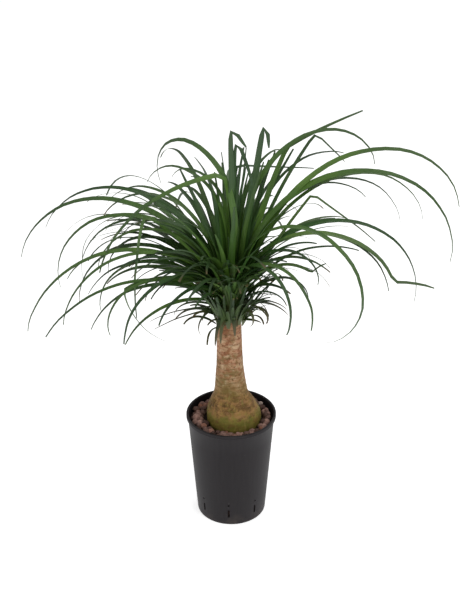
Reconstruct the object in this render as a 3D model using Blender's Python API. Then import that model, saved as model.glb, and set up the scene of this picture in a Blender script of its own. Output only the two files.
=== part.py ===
# Ponytail palm in a hydroculture pot.
# Metres, +Z up. The origin is the centre of the pot's underside and the front is -Y.
import math
import random

import bmesh
import bpy
from mathutils import Euler, Matrix, Vector

fit_gap = 0.0003
shortest_edge = 0.000001

# Pot, 15 cm across the rim and 19 cm high
pot_height = 0.190
rim_radius = 0.0750
rim_depth = 0.0065
wall_top_radius = 0.0722
base_radius = 0.0585
wall_thickness = 0.0016
floor_thickness = 0.0030
foot_bevel = 0.0020
rim_lip = 0.0012
rim_step = 0.0010
rim_draft = 0.0006
pot_sides = 44

# Water slots low in the pot wall
slot_groups = 8
slot_first_bearing = -94.0
slot_width = 0.0034
slot_bottom = 0.016
slot_top = 0.032
slot_hole_height = 0.042
slot_hole_diameter = 0.0036
slot_cut_inside = 0.008
slot_cut_outside = 0.012

# Clay granules: radius, number and lift of each row
granule_bed_top = 0.1755
granule_limit = 0.1875
granule_size = 0.0078
granule_rows = ((0.0628, 25, 0.0), (0.0520, 19, 0.0015))
granule_turn_play = 0.18
granule_reach_play = 0.0008
granule_lift_play = (-0.0015, 0.0025)
granule_size_play = (0.86, 1.06)
granule_dents = (0.88, 1.08)
granule_flatness = 0.86
granule_seed = 11
trunk_hole_slack = 0.0005
trunk_hole_top = 0.210

# Trunk with its swollen base: height and radius from the root stock to the crown
trunk_profile = (
    (0.060, 0.0040),
    (0.085, 0.0090),
    (0.112, 0.0130),
    (0.124, 0.0185),
    (0.136, 0.0285),
    (0.150, 0.0370),
    (0.164, 0.0420),
    (0.176, 0.0448),
    (0.188, 0.0455),
    (0.198, 0.0438),
    (0.208, 0.0400),
    (0.217, 0.0355),
    (0.225, 0.0310),
    (0.233, 0.0276),
    (0.242, 0.0262),
    (0.252, 0.0252),
    (0.269, 0.0232),
    (0.285, 0.0218),
    (0.305, 0.0209),
    (0.335, 0.0203),
    (0.368, 0.0198),
)
# Height and sideways place of the trunk's centre line
trunk_lean = (
    (0.060, 0.0047),
    (0.188, 0.0047),
    (0.208, 0.0022),
    (0.225, 0.0000),
    (0.270, -0.0015),
    (0.330, -0.0025),
    (0.368, -0.0035),
)
trunk_sides = 24
trunk_point = 0.002
scar_start = 0.236
scar_pitch = 0.0132
scar_depth = 0.0005
swell_start = 0.192
swell_rise = 0.030
# Soft lobes round the stem: how many, their turn, their twist with height and their depth
swell_lobes = ((3, 0.7, 9.0, 0.00035), (5, 0.0, 40.0, 0.00021))

# Crown of leaves
crown_centre = Vector((-0.001, 0.0, 0.0))
crown_profile = ((0.0196, 0.0), (0.0240, 0.008), (0.0295, 0.020), (0.0330, 0.034), (0.0325, 0.050),
                 (0.0270, 0.068), (0.0160, 0.088))
crown_tip_height = 0.102
crown_sides = 12
crown_turn = 7.0
leaf_root_radius = 0.010
leaf_root_heights = (0.392, 0.396)
cut_root_radius = 0.015
cut_root_height = 0.388
tip_width = 0.0017
base_opening = 0.30
opening_rate = 2.6
taper = 0.9
late_taper = 0.45
late_crease = 0.75
cut_taper = 0.35
crease_span = 0.03
turned_by = 0.4
keel_depth = 0.0011
keel_loss = 0.0004
leaf_seed = 48
clear_segments = 4
segment_length = 0.090
group_segments = 4
cut_segments = 3

# Leaves that stand clear of the rest. Each has its bearing, its pitch at the root and at the tip,
# how late it bends, its length and width in millimetres, its turn, and a crease if it has one.
clear_leaves = (
    (172, 74, -76, 1.30, 462, 12, -35),
    (165, 82, -66, 1.28, 430, 10, -30),
    (179, 76, -102, 1.42, 418, 10, -30),
    (176, 84, -98, 1.34, 372, 9, -20),
    (184, 77, -84, 1.60, 300, 9, -20),
    (190, 69, -78, 1.02, 414, 10, -25),
    (196, 71, -84, 1.15, 356, 9, -20),
    (200, 45, -54, 1.15, 326, 8, -20),
    (204, 42, -108, 2.00, 262, 8, -20),
    (215, 77, -86, 1.00, 266, 9, -20),
    (218, 80, -66, 0.90, 168, 8, -20),
    (197, 80, 20, 0.60, 375, 9, -30, 0.55, -112),
    (143, 103, -124, 2.40, 422, 12, -60),
    (160, 96, -70, 2.60, 322, 8, -30),
    (150, 98, -62, 3.00, 290, 8, -30),
    (190, 97, 8, 1.90, 475, 11, -40, 0.46, -84),
    (155, 82, -5, 1.30, 265, 7, -20),
    (150, 84, -60, 1.50, 345, 8, -20),
    (192, 56, -102, 1.80, 278, 8, -20),
    (185, 46, -62, 2.10, 292, 8, -20),
    (198, 60, -83, 1.00, 310, 8, -20, 0.59, -70),
    (14, 77, 58, 1.50, 392, 13, 40, 0.68, -41),
    (10, 87, -84, 2.55, 446, 12, 40),
    (8, 76, 50, 1.20, 362, 9, 20, 0.83, -100),
    (20, 80, -24, 2.60, 332, 9, 20),
    (1, 73, -83, 2.02, 530, 13, 35),
    (-1, 83, -98, 1.44, 555, 13, 35),
    (5, 72, -82, 2.00, 448, 9, 20),
    (8, 78, -84, 1.85, 418, 8, 20),
    (5, 77, -50, 2.30, 326, 8, 20),
    (1, 61, 52, 1.00, 342, 9, 20, 0.63, -92),
    (14, 76, -6, 1.20, 226, 7, 20),
    (-2, 74, -101, 1.34, 440, 11, 25),
    (-15, 80, -99, 1.24, 406, 10, 20, 0.85, 80),
    (-14, 82, -78, 1.26, 354, 8, 20),
    (-10, 57, -18, 1.70, 234, 7, 20),
    (-22, 67, -54, 1.60, 192, 7, 20, 0.85, 82),
    (-18, 80, -100, 1.80, 226, 7, 20),
    (-34, 91, -162, 1.34, 488, 10, 20),
    (-50, 96, -125, 1.20, 262, 8, 20),
    (-42, 90, -102, 1.18, 266, 8, 20),
    (28, 92, 86, 1.00, 366, 8, 20, 0.62, -98),
    (50, 86, -30, 3.40, 292, 9, 20),
    (1, 93, 90, 1.00, 318, 11, 80, 0.90, -146),
    (-11, 93, 86, 1.00, 333, 8, 60, 0.80, -160),
    (5, 84, 80, 1.00, 326, 13, 75, 0.90, -165),
    (34, 80, 66, 1.00, 250, 9, 40),
    (120, 93, 80, 1.00, 245, 6, 30),
    (172, 82, 64, 1.20, 232, 13, -66),
    (-16, 86, 74, 1.10, 246, 13, 62),
    (196, 88, 80, 1.00, 205, 12, -57),
    (25, 80, 52, 1.30, 262, 12, 48),
    (189, 74, 30, 1.40, 250, 11, -44),
    (-22, 89, 84, 1.00, 262, 12, 54),
    (38, 78, 70, 1.00, 236, 12, 60),
    (188, 38, -70, 1.30, 250, 9, -20),
    (176, 52, -64, 1.30, 262, 9, -20),
    (200, 28, -66, 1.20, 190, 8, -20),
)
# Old leaves cut short below the crown, with the same values
cut_leaves = (
    (186, 20, -100, 2.40, 92, 9, 0),
    (206, 12, -140, 1.20, 78, 6, 0),
    (184, 4, -26, 1.00, 118, 5, 0),
    (192, -4, -24, 1.00, 112, 5, 0),
    (205, 20, -90, 1.00, 56, 7, 0),
    (235, -30, -80, 0.60, 60, 8, 0),
    (-112, 0, -88, 0.50, 56, 8, 0),
    (-80, 5, -88, 0.50, 44, 8, 0),
    (-35, 45, -150, 1.00, 58, 9, 0),
    (-12, 40, -40, 1.20, 82, 7, 0),
    (-4, 24, -58, 1.40, 86, 10, 0),
    (-30, 50, -72, 1.10, 66, 7, 0),
    (35, 10, -75, 1.10, 74, 9, 0),
    (75, 5, -80, 0.90, 66, 9, 0),
    (118, 12, -70, 1.20, 82, 9, 0),
    (150, 0, -85, 0.80, 60, 8, 0),
)
# Leaves that fill the crown, in groups round it. Each range is drawn from by the same seed.
leaf_groups = (
    dict(count=13, span=(0, 360), pitch=(56, 72), bend=(120, 165), length=(210, 310), width=(7, 11),
         height=(0.371, 0.378)),
    dict(count=17, span=(31, 391), pitch=(62, 82), bend=(105, 160), length=(240, 360), width=(7, 11),
         height=(0.380, 0.396)),
    dict(count=10, span=(62, 422), pitch=(74, 90), bend=(80, 150), length=(170, 240), width=(9, 13),
         height=(0.400, 0.414)),
    dict(count=15, span=(145, 228), pitch=(64, 84), bend=(120, 170), length=(230, 350), width=(7, 11),
         height=(0.378, 0.398)),
    dict(count=8, span=(35, 145), pitch=(66, 88), bend=(60, 120), length=(190, 250), width=(9, 13),
         height=(0.388, 0.410)),
    dict(count=8, span=(140, 205), pitch=(66, 82), bend=(80, 130), length=(200, 290), width=(9, 12),
         height=(0.384, 0.400)),
    dict(count=6, span=(165, 215), pitch=(50, 64), bend=(90, 140), length=(200, 290), width=(8, 11),
         height=(0.376, 0.386)),
    dict(count=5, span=(-30, 25), pitch=(62, 80), bend=(60, 110), length=(260, 350), width=(9, 12),
         height=(0.384, 0.400)),
)
golden_share = 0.618034
bearing_play = 9.0
turn_play = 35.0
drift_play = 14.0
drift_ease = 1.5
ease_range = (1.1, 2.2)
steep_pitch = 70.0
front_shortening = 0.45
front_ease = 0.8
right_shortening = 0.28
back_lengthening = 0.20
front_lift = 20.0
front_stiffness = 0.3


def clear_scene():
    for thing in list(bpy.data.objects):
        bpy.data.objects.remove(thing, do_unlink=True)


def srgb(red, green, blue):
    return tuple((value / 255.0) ** 2.2 for value in (red, green, blue)) + (1.0,)


def plain_material(name, colour, roughness):
    material = bpy.data.materials.new(name)
    material.use_nodes = True
    shader = material.node_tree.nodes["Principled BSDF"]
    shader.inputs["Base Color"].default_value = colour
    shader.inputs["Roughness"].default_value = roughness
    shader.inputs["Metallic"].default_value = 0.0
    return material


def add_object(name, bm, material=None, smooth=False):
    mesh = bpy.data.meshes.new(name)
    bm.to_mesh(mesh)
    bm.free()
    if smooth:
        mesh.shade_smooth()
    thing = bpy.data.objects.new(name, mesh)
    bpy.context.scene.collection.objects.link(thing)
    if material:
        mesh.materials.append(material)
    return thing


# A closed body from rings round the Z axis. The profile runs up the outside, and a radius of 0
# closes it on the centre line.
def turned(profile, sides, centre=None, swell=None):
    bm = bmesh.new()
    rings = []
    for radius, z in profile:
        middle = centre(z) if centre else 0.0
        if radius == 0.0:
            rings.append([bm.verts.new((middle, 0.0, z))])
            continue
        ring = []
        for k in range(sides):
            angle = 2.0 * math.pi * k / sides
            reach = radius + (swell(angle, z) if swell else 0.0)
            ring.append(bm.verts.new((middle + reach * math.cos(angle), reach * math.sin(angle), z)))
        rings.append(ring)
    for lower, upper in zip(rings, rings[1:]):
        for k in range(sides):
            corners = [lower[k % len(lower)], lower[(k + 1) % sides % len(lower)]]
            corners += [upper[(k + 1) % sides % len(upper)], upper[k % len(upper)]]
            bm.faces.new(list(dict.fromkeys(corners)))
    return bm


def between(table, x):
    for (x0, y0), (x1, y1) in zip(table, table[1:]):
        if x <= x1:
            share = max(0.0, (x - x0) / (x1 - x0))
            return y0 + share * (y1 - y0)
    return table[-1][1]


def hide_cutter(cutter):
    cutter.hide_render = True
    cutter.display_type = "WIRE"


def cut(body, cutter, operation="DIFFERENCE"):
    hide_cutter(cutter)
    boolean = body.modifiers.new(operation.title(), "BOOLEAN")
    boolean.operation = operation
    boolean.solver = "EXACT"
    boolean.object = cutter


def apply_modifiers(thing):
    graph = bpy.context.evaluated_depsgraph_get()
    mesh = bpy.data.meshes.new_from_object(thing.evaluated_get(graph))
    thing.modifiers.clear()
    thing.data = mesh


# Joins every object of a collection to a body and removes them
def join_collection(body, pieces, solver="EXACT"):
    collection = bpy.data.collections.new(body.name + "_pieces")
    bpy.context.scene.collection.children.link(collection)
    for piece in pieces:
        bpy.context.scene.collection.objects.unlink(piece)
        collection.objects.link(piece)
    boolean = body.modifiers.new("Join", "BOOLEAN")
    boolean.operation = "UNION"
    boolean.operand_type = "COLLECTION"
    boolean.solver = solver
    boolean.collection = collection
    apply_modifiers(body)
    keep_main_body(body)
    for piece in pieces:
        bpy.data.objects.remove(piece, do_unlink=True)
    bpy.data.collections.remove(collection)


# Faces of a mesh in groups that hang together
def islands(bm):
    waiting = set(bm.faces)
    while waiting:
        start = waiting.pop()
        island = [start]
        for face in island:
            for edge in face.edges:
                for other in edge.link_faces:
                    if other in waiting:
                        waiting.remove(other)
                        island.append(other)
        yield island


# Keeps the largest body, so that hollows sealed by a union are filled and scraps are dropped.
# Edges with no length, left where the union met a corner, are closed up first.
def keep_main_body(thing):
    bm = bmesh.new()
    bm.from_mesh(thing.data)
    bmesh.ops.dissolve_degenerate(bm, dist=shortest_edge, edges=bm.edges)
    groups = sorted(islands(bm), key=len)
    loose = [face for group in groups[:-1] for face in group]
    bmesh.ops.delete(bm, geom=loose, context="FACES")
    bm.to_mesh(thing.data)
    bm.free()


def wall_inside(z):
    share = z / (pot_height - rim_depth)
    return base_radius + (wall_top_radius - base_radius) * share - wall_thickness


def pot_profile():
    rim_bottom = pot_height - rim_depth
    return (
        (0.0, 0.0),
        (base_radius - foot_bevel, 0.0),
        (base_radius, foot_bevel),
        (wall_top_radius, rim_bottom - rim_step),
        (rim_radius - rim_draft, rim_bottom),
        (rim_radius, rim_bottom + rim_lip),
        (rim_radius, pot_height - rim_lip),
        (rim_radius - rim_lip, pot_height),
        (wall_inside(pot_height) + rim_lip, pot_height),
        (wall_inside(pot_height - rim_lip), pot_height - rim_lip),
        (wall_inside(floor_thickness), floor_thickness),
        (0.0, floor_thickness),
    )


def rounded_slot(width, bottom, top):
    radius = width / 2.0
    steps = 4
    outline = []
    for centre, start in ((top - radius, 0.0), (bottom + radius, math.pi)):
        for k in range(steps):
            angle = start + math.pi * k / (steps - 1)
            outline.append((radius * math.cos(angle), centre + radius * math.sin(angle)))
    return outline


def round_hole(diameter, height):
    sides = 6
    angles = [2.0 * math.pi * k / sides for k in range(sides)]
    return [(diameter / 2.0 * math.cos(a), height + diameter / 2.0 * math.sin(a)) for a in angles]


# An upright outline pushed through the wall along a bearing
def add_prism(bm, outline, bearing, start, end):
    turn = Matrix.Rotation(math.radians(bearing), 4, "Z")
    near = [bm.verts.new(turn @ Vector((start, across, z))) for across, z in outline]
    far = [bm.verts.new(turn @ Vector((end, across, z))) for across, z in outline]
    bm.faces.new(list(reversed(near)))
    bm.faces.new(far)
    count = len(outline)
    for k in range(count):
        after = (k + 1) % count
        bm.faces.new((near[k], near[after], far[after], far[k]))


def make_pot():
    plastic = plain_material("pot_plastic", srgb(50, 48, 50), 0.5)
    pot = add_object("pot", turned(pot_profile(), pot_sides), plastic, smooth=True)
    bm = bmesh.new()
    for k in range(slot_groups):
        bearing = slot_first_bearing + 360.0 / slot_groups * k
        for outline in (rounded_slot(slot_width, slot_bottom, slot_top),
                        round_hole(slot_hole_diameter, slot_hole_height)):
            add_prism(bm, outline, bearing, base_radius - slot_cut_inside, base_radius + slot_cut_outside)
    cut(pot, add_object("slot_cutter", bm))
    return pot


def trunk_centre(z):
    return between(trunk_lean, z)


def trunk_radius(z):
    return between(trunk_profile, z)


# Heights of the trunk's rings: the base by its profile, the stem by its leaf scars
def trunk_heights():
    heights = [z for z, radius in trunk_profile if z < scar_start]
    count = int((trunk_profile[-1][0] - scar_start) / (scar_pitch / 2.0))
    heights += [scar_start + scar_pitch / 2.0 * k for k in range(count + 1)]
    heights.append(trunk_profile[-1][0])
    return heights


def trunk_swell(angle, z):
    rise = min(1.0, max(0.0, (z - swell_start) / swell_rise))
    return rise * sum(depth * math.sin(count * angle + turn + twist * z)
                      for count, turn, twist, depth in swell_lobes)


def make_trunk():
    bark = plain_material("trunk_bark", srgb(160, 125, 88), 0.85)
    profile = [(0.0, trunk_profile[0][0] - trunk_point)]
    for k, z in enumerate(trunk_heights()):
        ridge = 0.0
        if z > scar_start:
            ridge = scar_depth * (0.5 if k % 2 else -0.5)
        profile.append((trunk_radius(z) + ridge, z))
    profile.append((0.0, trunk_profile[-1][0]))
    return add_object("trunk", turned(profile, trunk_sides, trunk_centre, trunk_swell), bark, smooth=True)


# The space that the trunk takes in the granules, with its gap. Under the bulb it also lies lower.
def trunk_hole():
    profile = [(0.0, trunk_profile[0][0] - trunk_point - fit_gap)]
    for z, radius in trunk_profile:
        if z < trunk_hole_top:
            drop = fit_gap if z < granule_bed_top - granule_size else 0.0
            profile.append((radius + trunk_hole_slack, z - drop))
    profile.append((0.0, profile[-1][1]))
    return turned(profile, trunk_sides, trunk_centre)


# The inside of the pot up to a height, with its gap
def pot_filling(top):
    bottom = floor_thickness + fit_gap
    corners = [(wall_inside(z) - fit_gap, z) for z in (bottom, top)]
    return turned([(0.0, bottom)] + corners + [(0.0, top)], pot_sides)


def granule(centre, size, chance):
    bm = bmesh.new()
    bmesh.ops.create_icosphere(bm, subdivisions=1, radius=size)
    for vert in bm.verts:
        vert.co *= draw(chance, granule_dents)
    turn = Euler([chance.uniform(0.0, 2.0 * math.pi) for axis in range(3)]).to_matrix().to_4x4()
    squash = Matrix.Diagonal((1.0, 1.0, granule_flatness, 1.0))
    bmesh.ops.transform(bm, matrix=Matrix.Translation(centre) @ squash @ turn, verts=bm.verts)
    return bm


def make_granules():
    clay = plain_material("fired_clay", srgb(120, 80, 70), 0.9)
    chance = random.Random(granule_seed)
    granules = add_object("clay_granules", pot_filling(granule_bed_top), clay)
    pieces = []
    for radius, count, lift in granule_rows:
        for k in range(count):
            angle = 2.0 * math.pi * (k + chance.uniform(-granule_turn_play, granule_turn_play)) / count
            reach = radius + chance.uniform(-granule_reach_play, granule_reach_play)
            z = granule_bed_top + lift + draw(chance, granule_lift_play)
            size = granule_size * draw(chance, granule_size_play)
            centre = Vector((reach * math.cos(angle), reach * math.sin(angle), z))
            pieces.append(add_object("granule", granule(centre, size, chance)))
    join_collection(granules, pieces)
    cut(granules, add_object("trunk_hole_cutter", trunk_hole()))
    cut(granules, add_object("pot_space", pot_filling(granule_limit)), "INTERSECT")
    return granules


# Pitch along a leaf: the share runs from 0 at the root to 1 at the tip
def leaf_pitch(leaf, share):
    pitch = leaf["rise"] + (leaf["fall"] - leaf["rise"]) * share ** leaf["ease"]
    if leaf["crease"]:
        at, by = leaf["crease"]
        pitch += by * min(1.0, max(0.0, (share - at) / crease_span + 0.5))
    return math.radians(pitch)


def leaf_bearing(leaf, share):
    return math.radians(leaf["bearing"] + leaf["drift"] * share ** drift_ease)


def leaf_direction(leaf, share):
    pitch = leaf_pitch(leaf, share)
    bearing = leaf_bearing(leaf, share)
    flat = math.cos(pitch)
    return Vector((flat * math.cos(bearing), flat * math.sin(bearing), math.sin(pitch)))


def leaf_width(leaf, share):
    if leaf["cut"]:
        return leaf["width"] * (1.0 - cut_taper * share)
    opening = min(1.0, base_opening + opening_rate * share)
    late = leaf["crease"] and leaf["crease"][0] > late_crease
    return leaf["width"] * opening * (1.0 - share) ** (late_taper if late else taper) + tip_width


# Shares at which a leaf gets its rings: a crease has one where it starts and one where it ends
def leaf_shares(leaf):
    count = leaf["segments"]
    shares = [k / count for k in range(count + 1)]
    if leaf["crease"]:
        at = leaf["crease"][0]
        half = crease_span / 2.0
        shares = [s for s in shares if abs(s - at) > crease_span or s == 1.0] + [at - half, at + half]
    return sorted(shares)


def leaf_points(leaf):
    fine = 120
    root = crown_centre.copy()
    bearing = math.radians(leaf["bearing"])
    root += Vector((math.cos(bearing), math.sin(bearing), 0.0)) * leaf["reach"]
    root.z = leaf["height"]
    points = [root]
    for k in range(fine):
        points.append(points[-1] + leaf_direction(leaf, (k + 0.5) / fine) * leaf["length"] / fine)
    return [points[round(share * fine)] for share in leaf_shares(leaf)]


# A three-sided blade: a flat upper face and a keel below it
def leaf_body(leaf):
    bm = bmesh.new()
    rings = []
    for share, point in zip(leaf_shares(leaf), leaf_points(leaf)):
        along = leaf_direction(leaf, share)
        bearing = leaf_bearing(leaf, share)
        across = Vector((-math.sin(bearing), math.cos(bearing), 0.0))
        turn = math.radians(leaf["turn"]) * min(1.0, share / turned_by)
        across = Matrix.Rotation(turn, 3, along) @ across
        keel = across.cross(along).normalized() * (keel_depth - keel_loss * share)
        half = across * leaf_width(leaf, share) / 2.0
        rings.append([bm.verts.new(point + half), bm.verts.new(point - half), bm.verts.new(point + keel)])
    bm.faces.new(rings[0])
    bm.faces.new(list(reversed(rings[-1])))
    for near, far in zip(rings, rings[1:]):
        for k in range(3):
            after = (k + 1) % 3
            bm.faces.new((near[after], near[k], far[after]))
            bm.faces.new((near[k], far[k], far[after]))
    bmesh.ops.recalc_face_normals(bm, faces=bm.faces)
    return bm


def leaf(bearing, rise, fall, ease, length, width, turn, crease_at=None, crease_by=0.0):
    return dict(bearing=bearing, rise=rise, fall=fall, ease=ease, length=length / 1000.0,
                width=width / 1000.0, turn=turn, drift=0.0, cut=False,
                segments=clear_segments + round(length / 1000.0 / segment_length),
                crease=(crease_at, crease_by) if crease_at else None,
                reach=leaf_root_radius, height=leaf_root_heights[0])


def draw(chance, limits):
    return chance.uniform(limits[0], limits[1])


# One leaf of a group. Leaves towards the front and the right are shorter, those at the back longer.
def group_leaf(group, bearing, chance):
    front = max(0.0, -math.sin(math.radians(bearing)))
    back = max(0.0, math.sin(math.radians(bearing)))
    right = max(0.0, math.cos(math.radians(bearing)))
    rise = draw(chance, group["pitch"])
    if rise < steep_pitch:
        rise += front_lift * front
    fall = rise - draw(chance, group["bend"]) * (1.0 - front_stiffness * front)
    length = draw(chance, group["length"])
    length *= (1.0 - front_shortening * front ** front_ease) * (1.0 - right_shortening * right)
    length *= 1.0 + back_lengthening * back
    width = draw(chance, group["width"])
    turn = chance.uniform(-turn_play, turn_play)
    made = leaf(bearing, rise, fall, draw(chance, ease_range), length, width, turn)
    made["height"] = draw(chance, group["height"])
    made["drift"] = chance.uniform(-drift_play, drift_play)
    made["segments"] = group_segments
    return made


def all_leaves():
    chance = random.Random(leaf_seed)
    leaves = [leaf(*values) for values in clear_leaves]
    for made in leaves:
        made["height"] = draw(chance, leaf_root_heights)
    for values in cut_leaves:
        made = leaf(*values)
        made.update(cut=True, segments=cut_segments, height=cut_root_height, reach=cut_root_radius)
        leaves.append(made)
    for group in leaf_groups:
        low, high = group["span"]
        for k in range(group["count"]):
            bearing = low + (high - low) * ((k * golden_share) % 1.0)
            bearing += chance.uniform(-bearing_play, bearing_play)
            leaves.append(group_leaf(group, bearing, chance))
    return leaves


def make_crown():
    green = plain_material("leaf_green", srgb(48, 84, 40), 0.45)
    bottom = trunk_profile[-1][0] + fit_gap
    profile = [(0.0, bottom)]
    profile += [(radius, bottom + rise) for radius, rise in crown_profile]
    profile.append((0.0, bottom + crown_tip_height))
    core = turned(profile, crown_sides, lambda z: crown_centre.x)
    core.transform(Matrix.Rotation(math.radians(crown_turn), 4, "Z"))
    crown = add_object("leaf_crown", core, green)
    pieces = [add_object("leaf", leaf_body(values)) for values in all_leaves()]
    join_collection(crown, pieces, "MANIFOLD")
    return crown


def main():
    clear_scene()
    make_pot()
    make_granules()
    make_trunk()
    make_crown()


main()
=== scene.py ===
import math
import random

import bpy
import numpy as np
from mathutils import Matrix, Vector, noise


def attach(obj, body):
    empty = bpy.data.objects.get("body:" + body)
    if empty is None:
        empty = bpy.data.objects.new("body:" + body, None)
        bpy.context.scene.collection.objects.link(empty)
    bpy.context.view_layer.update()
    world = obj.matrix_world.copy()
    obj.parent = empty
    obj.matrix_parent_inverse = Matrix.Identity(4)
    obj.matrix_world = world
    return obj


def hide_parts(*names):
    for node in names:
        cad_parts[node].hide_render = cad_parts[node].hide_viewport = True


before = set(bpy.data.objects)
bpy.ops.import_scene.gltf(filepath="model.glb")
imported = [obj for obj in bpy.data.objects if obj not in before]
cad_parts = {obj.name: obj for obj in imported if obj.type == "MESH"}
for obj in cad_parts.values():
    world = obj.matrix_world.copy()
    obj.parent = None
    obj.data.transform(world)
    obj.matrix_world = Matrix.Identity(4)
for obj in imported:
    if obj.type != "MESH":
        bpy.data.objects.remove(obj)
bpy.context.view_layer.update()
print("frame loaded")


# A colour as it looks on screen, 0 to 255
def tint(red, green, blue):
    return tuple((value / 255.0) ** 2.2 for value in (red, green, blue)) + (1.0,)


# One output of a node, so that node maths reads as plain expressions
class Value:
    def __init__(self, graph, socket):
        self.graph = graph
        self.socket = socket

    def run(self, operation, *values):
        return self.graph.node("ShaderNodeMath", {"operation": operation}, values)

    def __add__(self, other):
        return self.run("ADD", self, other)

    def __radd__(self, other):
        return self.run("ADD", other, self)

    def __sub__(self, other):
        return self.run("SUBTRACT", self, other)

    def __rsub__(self, other):
        return self.run("SUBTRACT", other, self)

    def __mul__(self, other):
        return self.run("MULTIPLY", self, other)

    def __rmul__(self, other):
        return self.run("MULTIPLY", other, self)

    def __truediv__(self, other):
        return self.run("DIVIDE", self, other)

    def __pow__(self, other):
        return self.run("POWER", self, other)

    def __neg__(self):
        return self.run("MULTIPLY", self, -1.0)

    def sine(self):
        return self.run("SINE", self)

    def cosine(self):
        return self.run("COSINE", self)

    def size(self):
        return self.run("ABSOLUTE", self)

    def over(self, limit):
        return self.run("GREATER_THAN", self, limit)

    def part(self):
        return self.run("FRACT", self)

    # 0 at low, 1 at high and eased between them
    def ease(self, low, high):
        return self.graph.node("ShaderNodeMapRange", {"interpolation_type": "SMOOTHSTEP"}, (self, low, high))

    # Another output of the same node
    def other(self, name):
        return Value(self.graph, self.socket.node.outputs[name])


# A node tree. The method node makes every node: its settings first, then its values and links.
class Graph:
    def __init__(self, tree):
        self.tree = tree

    def node(self, kind, settings=None, inputs=(), out=0):
        made = self.tree.nodes.new(kind)
        for key, setting in (settings or {}).items():
            setattr(made, key, setting)
        for key, value in inputs.items() if isinstance(inputs, dict) else enumerate(inputs):
            self.feed(made.inputs[key], value)
        return Value(self, made.outputs[out])

    def feed(self, socket, value):
        for one in value if isinstance(value, list) else [value]:
            if isinstance(one, Value):
                self.tree.links.new(one.socket, socket)
            else:
                socket.default_value = one

    def mix(self, share, first, second):
        return self.node("ShaderNodeMix", {"data_type": "RGBA"}, {0: share, 6: first, 7: second}, out=2)

    def stretch(self, vector, x, y, z):
        return self.node("ShaderNodeVectorMath", {"operation": "MULTIPLY"}, (vector, (x, y, z)))

    def scaled(self, vector, share):
        return self.node("ShaderNodeVectorMath", {"operation": "SCALE"}, {"Vector": vector, "Scale": share})

    def split(self, vector):
        x = self.node("ShaderNodeSeparateXYZ", None, (vector,))
        return x, x.other("Y"), x.other("Z")

    def join(self, x, y, z):
        return self.node("ShaderNodeCombineXYZ", None, (x, y, z))

    def clouds(self, vector, scale, detail=4.0, roughness=0.55):
        return self.node("ShaderNodeTexNoise", None, {"Vector": vector, "Scale": scale, "Detail": detail,
                                                      "Roughness": roughness})


# A material with one Principled shader
class Finish(Graph):
    def __init__(self, name):
        self.material = bpy.data.materials.new(name)
        self.material.use_nodes = True
        super().__init__(self.material.node_tree)
        self.place = self.node("ShaderNodeTexCoord", out=3)

    def attribute(self, name):
        return self.node("ShaderNodeAttribute", {"attribute_name": name}, out=2)

    def ramp(self, share, stops):
        made = self.node("ShaderNodeValToRGB", None, (share,))
        ramp = made.socket.node.color_ramp
        ramp.elements.remove(ramp.elements[1])
        ramp.elements[0].position, ramp.elements[0].color = stops[0]
        for place, colour in stops[1:]:
            ramp.elements.new(place).color = colour
        return made

    def shade(self, values):
        shader = self.tree.nodes["Principled BSDF"]
        for name, value in values.items():
            self.feed(shader.inputs[name], value)

    def bump(self, height, strength, distance):
        self.shade({"Normal": self.node("ShaderNodeBump", None, {
            "Strength": strength, "Distance": distance, "Height": height})})


# A geometry node tree with named inputs
class Recipe(Graph):
    def __init__(self, name, values):
        tree = bpy.data.node_groups.new(name, "GeometryNodeTree")
        super().__init__(tree)
        self.values = values
        sockets = {float: "NodeSocketFloat", int: "NodeSocketInt", bpy.types.Material: "NodeSocketMaterial"}
        tree.interface.new_socket("Geometry", in_out="INPUT", socket_type="NodeSocketGeometry")
        tree.interface.new_socket("Geometry", in_out="OUTPUT", socket_type="NodeSocketGeometry")
        for label, value in values.items():
            tree.interface.new_socket(label, in_out="INPUT", socket_type=sockets[type(value)])
        self.start = tree.nodes.new("NodeGroupInput")

    def given(self, label):
        return Value(self, self.start.outputs[label])

    def named(self, name, kind="FLOAT"):
        return self.node("GeometryNodeInputNamedAttribute", {"data_type": kind}, {"Name": name})

    def chance(self, low, high, shift):
        seed = self.given("Seed") + shift
        return self.node("FunctionNodeRandomValue", {"data_type": "FLOAT"}, {2: low, 3: high, 8: seed}, out=1)

    def move(self, geometry, key, value):
        return self.node("GeometryNodeSetPosition", None, {"Geometry": geometry, key: value})

    def store(self, geometry, name, value):
        return self.node("GeometryNodeStoreNamedAttribute", {"data_type": "FLOAT", "domain": "POINT"},
                         {"Geometry": geometry, "Name": name, "Value": value})

    def finish(self, geometry):
        whole = self.node("GeometryNodeRealizeInstances", None, (geometry,))
        painted = self.node("GeometryNodeSetMaterial", None,
                            {"Geometry": whole, "Material": self.given("Material")})
        self.feed(self.tree.nodes.new("NodeGroupOutput").inputs[0], painted)
        return self

    # Runs the tree on a piece and leaves a plain mesh
    def make(self, piece):
        modifier = piece.modifiers.new(self.tree.name, "NODES")
        modifier.node_group = self.tree
        for item in self.tree.interface.items_tree:
            if item.name in self.values:
                modifier[item.identifier] = self.values[item.name]
        graph = bpy.context.evaluated_depsgraph_get()
        mesh = bpy.data.meshes.new_from_object(piece.evaluated_get(graph), depsgraph=graph)
        piece.modifiers.clear()
        piece.data = mesh


def newPiece(name, verts, faces, edges=()):
    mesh = bpy.data.meshes.new(name)
    mesh.from_pydata([tuple(v) for v in verts], list(edges), list(faces))
    piece = bpy.data.objects.new(name, mesh)
    bpy.context.scene.collection.objects.link(piece)
    return piece


def storeValues(piece, name, values, kind="FLOAT"):
    layer = piece.data.attributes.new(name, kind, "POINT")
    field = "vector" if kind == "FLOAT_VECTOR" else "value"
    layer.data.foreach_set(field, np.asarray(values, np.float32).ravel())


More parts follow.
